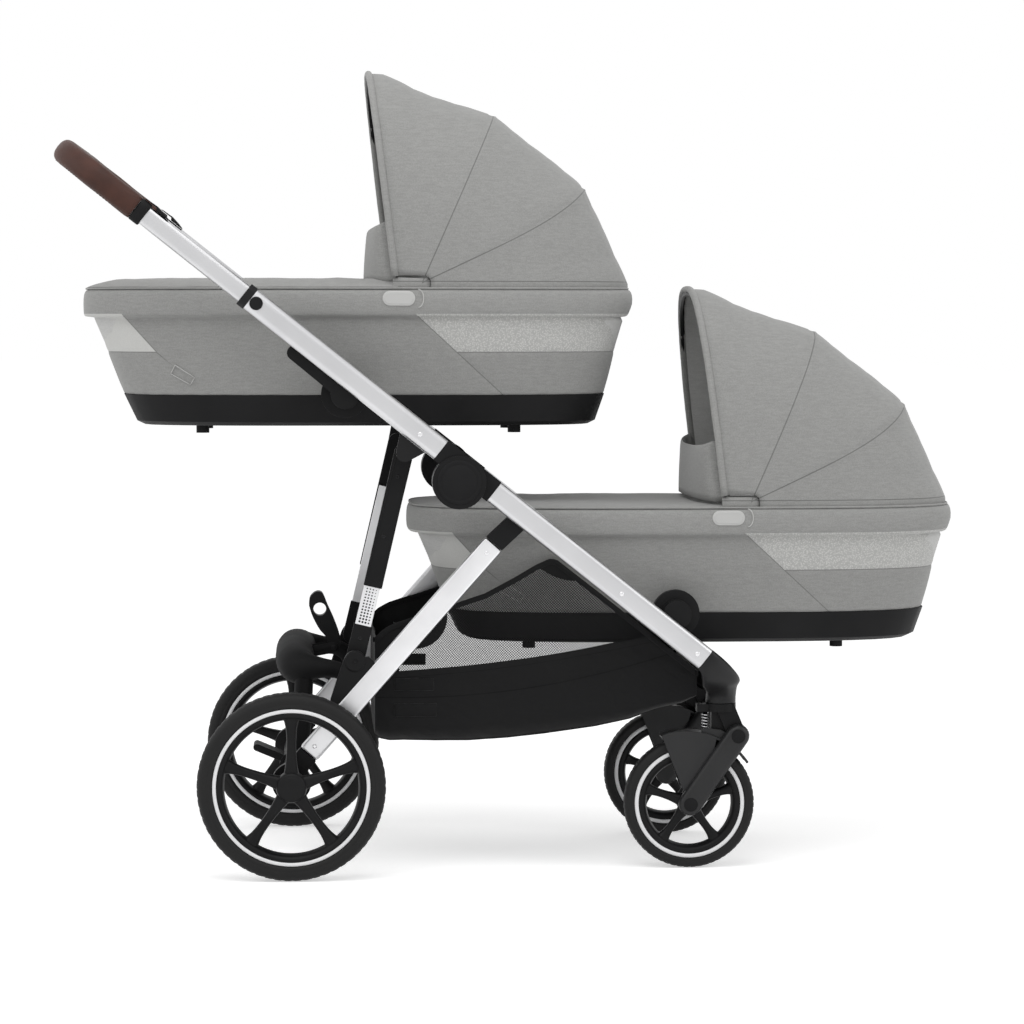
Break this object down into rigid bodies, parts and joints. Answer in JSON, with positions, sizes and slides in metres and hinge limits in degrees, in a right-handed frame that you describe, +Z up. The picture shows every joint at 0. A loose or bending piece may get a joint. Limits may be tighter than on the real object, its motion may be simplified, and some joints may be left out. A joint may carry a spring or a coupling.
{
  "type": "twin pram",
  "caption": "Twin pram: folding aluminium frame on spoked wheels with two hooded carrycots, one above and behind the other, and a shopping basket.",
  "frame": {"origin": "on the floor at mid-length, midway between the sides", "axes": "+X to the front of the pram, +Y to its left, +Z up"},
  "size_m": [1.3994, 0.6306, 1.2264],
  "materials": {
    "aluminium_tube": "satin",
    "black_plastic": "fine grain",
    "tyre_rubber": "matt",
    "spring_steel": "plated wire",
    "grip_leatherette": "stitched leatherette",
    "grey_fabric": "woven",
    "basket_fabric": "net and woven"
  },
  "bodies": {
    "chassis": {"lower_tube_left": "aluminium_tube", "lower_tube_right": "aluminium_tube", "hub_lower_left": "black_plastic", "hub_lower_right": "black_plastic", "front_elbow_left": "black_plastic", "front_elbow_right": "black_plastic", "front_crossbar": "aluminium_tube", "basket": "basket_fabric"},
    "handle_frame": {"upper_tube_left": "aluminium_tube", "upper_tube_right": "aluminium_tube", "hub_upper_left": "black_plastic", "hub_upper_right": "black_plastic"},
    "handle": {"handle_bar": "aluminium_tube", "grip": "grip_leatherette"},
    "rear_legs": {"rear_leg_left": "aluminium_tube", "rear_leg_right": "aluminium_tube", "leg_connector_left": "black_plastic", "leg_connector_right": "black_plastic", "rear_arch": "black_plastic", "rear_axle": "black_plastic"},
    "strut_bars": {"strut_bar_left": "aluminium_tube", "strut_bar_right": "aluminium_tube"},
    "strut_sleeves": {"strut_sleeve_left": "black_plastic", "strut_sleeve_right": "black_plastic"},
    "fold_latch": {"fold_latch": "black_plastic"},
    "brake_pedal": {"brake_pedal": "black_plastic"},
    "lock_button_left": {"lock_button_left": "black_plastic"},
    "fold_trigger_left": {"fold_trigger_left": "black_plastic"},
    "rear_wheel_left": {"rear_tyre_left": "tyre_rubber", "rear_rim_left": "black_plastic"},
    "caster_left": {"swivel_head_left": "black_plastic", "spring_left": "spring_steel"},
    "fork_left": {"fork_arm_left": "black_plastic"},
    "front_wheel_left": {"front_tyre_left": "tyre_rubber", "front_rim_left": "black_plastic"},
    "lock_button_right": {"lock_button_right": "black_plastic"},
    "fold_trigger_right": {"fold_trigger_right": "black_plastic"},
    "rear_wheel_right": {"rear_tyre_right": "tyre_rubber", "rear_rim_right": "black_plastic"},
    "caster_right": {"swivel_head_right": "black_plastic", "spring_right": "spring_steel"},
    "fork_right": {"fork_arm_right": "black_plastic"},
    "front_wheel_right": {"front_tyre_right": "tyre_rubber", "front_rim_right": "black_plastic"},
    "upper_adapters": {"upper_adapter_left": "black_plastic", "upper_adapter_right": "black_plastic"},
    "upper_cot": {"upper_tray": "black_plastic", "upper_shell": "grey_fabric", "upper_apron": "grey_fabric", "upper_hood_rear": "grey_fabric"},
    "upper_canopy": {"upper_hood_front": "grey_fabric", "upper_bow": "black_plastic"},
    "lower_adapters": {"lower_adapter_left": "black_plastic", "lower_adapter_right": "black_plastic"},
    "lower_cot": {"lower_tray": "black_plastic", "lower_shell": "grey_fabric", "lower_apron": "grey_fabric", "lower_hood_rear": "grey_fabric"},
    "lower_canopy": {"lower_hood_front": "grey_fabric", "lower_bow": "black_plastic"}
  },
  "joints": [
    {"name": "frame_fold", "type": "hinge", "parent": "chassis", "child": "handle_frame", "pos_m": [-0.0899, 0, 0.6005], "axis": [0, 1, 0], "range_deg": [0, 140]},
    {"name": "rear_leg_fold", "type": "hinge", "parent": "chassis", "child": "rear_legs", "pos_m": [0.0076, 0, 0.545], "axis": [0, -1, 0], "range_deg": [0, 40.01], "deforming": ["basket"]},
    {"name": "strut_sleeve_hinge", "type": "hinge", "parent": "handle_frame", "child": "strut_sleeves", "pos_m": [-0.1717, 0, 0.6436], "axis": [0, -1, 0], "range_deg": [0, 146.68]},
    {"name": "strut_bar_hinge", "type": "hinge", "parent": "rear_legs", "child": "strut_bars", "pos_m": [-0.2466, 0, 0.3266], "axis": [0, 1, 0], "range_deg": [0, 33.36]},
    {"name": "handle_slide", "type": "slide", "parent": "handle_frame", "child": "handle", "axis": [0.7826, 0, -0.6225], "range_m": [0, 0.12]},
    {"name": "latch_hinge", "type": "hinge", "parent": "rear_legs", "child": "fold_latch", "pos_m": [-0.2774, 0, 0.327], "axis": [0, -1, 0], "range_deg": [0, 35]},
    {"name": "brake_hinge", "type": "hinge", "parent": "rear_legs", "child": "brake_pedal", "pos_m": [-0.3434, 0, 0.1425], "axis": [0, -1, 0], "range_deg": [0, 20]},
    {"name": "lock_button_press_left", "type": "slide", "parent": "handle_frame", "child": "lock_button_left", "axis": [0, -1, 0], "range_m": [0, 0.0018], "stiffness_N_per_m": 400, "springref_m": -0.002},
    {"name": "fold_trigger_pull_left", "type": "slide", "parent": "handle", "child": "fold_trigger_left", "axis": [-0.7826, 0, 0.6225], "range_m": [0, 0.007], "stiffness_N_per_m": 300, "springref_m": -0.003},
    {"name": "rear_wheel_spin_left", "type": "hinge", "parent": "rear_legs", "child": "rear_wheel_left", "pos_m": [-0.3434, 0.2955, 0.1425], "axis": [0, 1, 0], "continuous": true},
    {"name": "caster_swivel_left", "type": "hinge", "parent": "chassis", "child": "caster_left", "pos_m": [0.3176, 0.189, 0.2545], "axis": [0, 0, 1], "continuous": true},
    {"name": "fork_suspension_left", "type": "hinge", "parent": "caster_left", "child": "fork_left", "pos_m": [0.3414, 0.189, 0.2058], "axis": [0, 1, 0], "range_deg": [0, 8], "stiffness_Nm_per_rad": 60, "springref_deg": -8.59, "deforming": ["spring_left"]},
    {"name": "front_wheel_spin_left", "type": "hinge", "parent": "fork_left", "child": "front_wheel_left", "pos_m": [0.2683, 0.189, 0.1008], "axis": [0, 1, 0], "continuous": true},
    {"name": "lock_button_press_right", "type": "slide", "parent": "handle_frame", "child": "lock_button_right", "axis": [0, 1, 0], "range_m": [0, 0.0018], "stiffness_N_per_m": 400, "springref_m": -0.002},
    {"name": "fold_trigger_pull_right", "type": "slide", "parent": "handle", "child": "fold_trigger_right", "axis": [-0.7826, 0, 0.6225], "range_m": [0, 0.007], "stiffness_N_per_m": 300, "springref_m": -0.003},
    {"name": "rear_wheel_spin_right", "type": "hinge", "parent": "rear_legs", "child": "rear_wheel_right", "pos_m": [-0.3434, -0.2955, 0.1425], "axis": [0, 1, 0], "continuous": true},
    {"name": "caster_swivel_right", "type": "hinge", "parent": "chassis", "child": "caster_right", "pos_m": [0.3176, -0.189, 0.2545], "axis": [0, 0, 1], "continuous": true},
    {"name": "fork_suspension_right", "type": "hinge", "parent": "caster_right", "child": "fork_right", "pos_m": [0.3414, -0.189, 0.2058], "axis": [0, 1, 0], "range_deg": [0, 8], "stiffness_Nm_per_rad": 60, "springref_deg": -8.59, "deforming": ["spring_right"]},
    {"name": "front_wheel_spin_right", "type": "hinge", "parent": "fork_right", "child": "front_wheel_right", "pos_m": [0.2683, -0.189, 0.1008], "axis": [0, 1, 0], "continuous": true},
    {"name": "upper_adapter_removal", "type": "slide", "parent": "chassis", "child": "upper_adapters", "axis": [-1, 0, 0], "range_m": [0, 1.001]},
    {"name": "upper_cot_lift", "type": "slide", "parent": "upper_adapters", "child": "upper_cot", "axis": [0, 0, 1], "range_m": [0, 0.18]},
    {"name": "upper_canopy_fold", "type": "hinge", "parent": "upper_cot", "child": "upper_canopy", "pos_m": [-0.1413, 0, 0.9], "axis": [0, 1, 0], "range_deg": [0, 70], "deforming": ["upper_hood_front"]},
    {"name": "lower_adapter_removal", "type": "slide", "parent": "chassis", "child": "lower_adapters", "axis": [1, 0, 0], "range_m": [0, 1.001]},
    {"name": "lower_cot_lift", "type": "slide", "parent": "lower_adapters", "child": "lower_cot", "axis": [0, 0, 1], "range_m": [0, 0.09]},
    {"name": "lower_canopy_fold", "type": "hinge", "parent": "lower_cot", "child": "lower_canopy", "pos_m": [0.3637, 0, 0.564], "axis": [0, 1, 0], "range_deg": [0, 70], "deforming": ["lower_hood_front"]}
  ],
  "couplings": [
    {"joint": "rear_leg_fold", "follows": "frame_fold", "ratio": 0.28571},
    {"joint": "strut_sleeve_hinge", "follows": "frame_fold", "ratio": 1.0476},
    {"joint": "strut_bar_hinge", "follows": "frame_fold", "ratio": 0.23816},
    {"joint": "upper_adapter_removal", "follows": "frame_fold", "m_per_rad": 0.40926},
    {"joint": "lower_adapter_removal", "follows": "frame_fold", "m_per_rad": 0.40926}
  ]
}
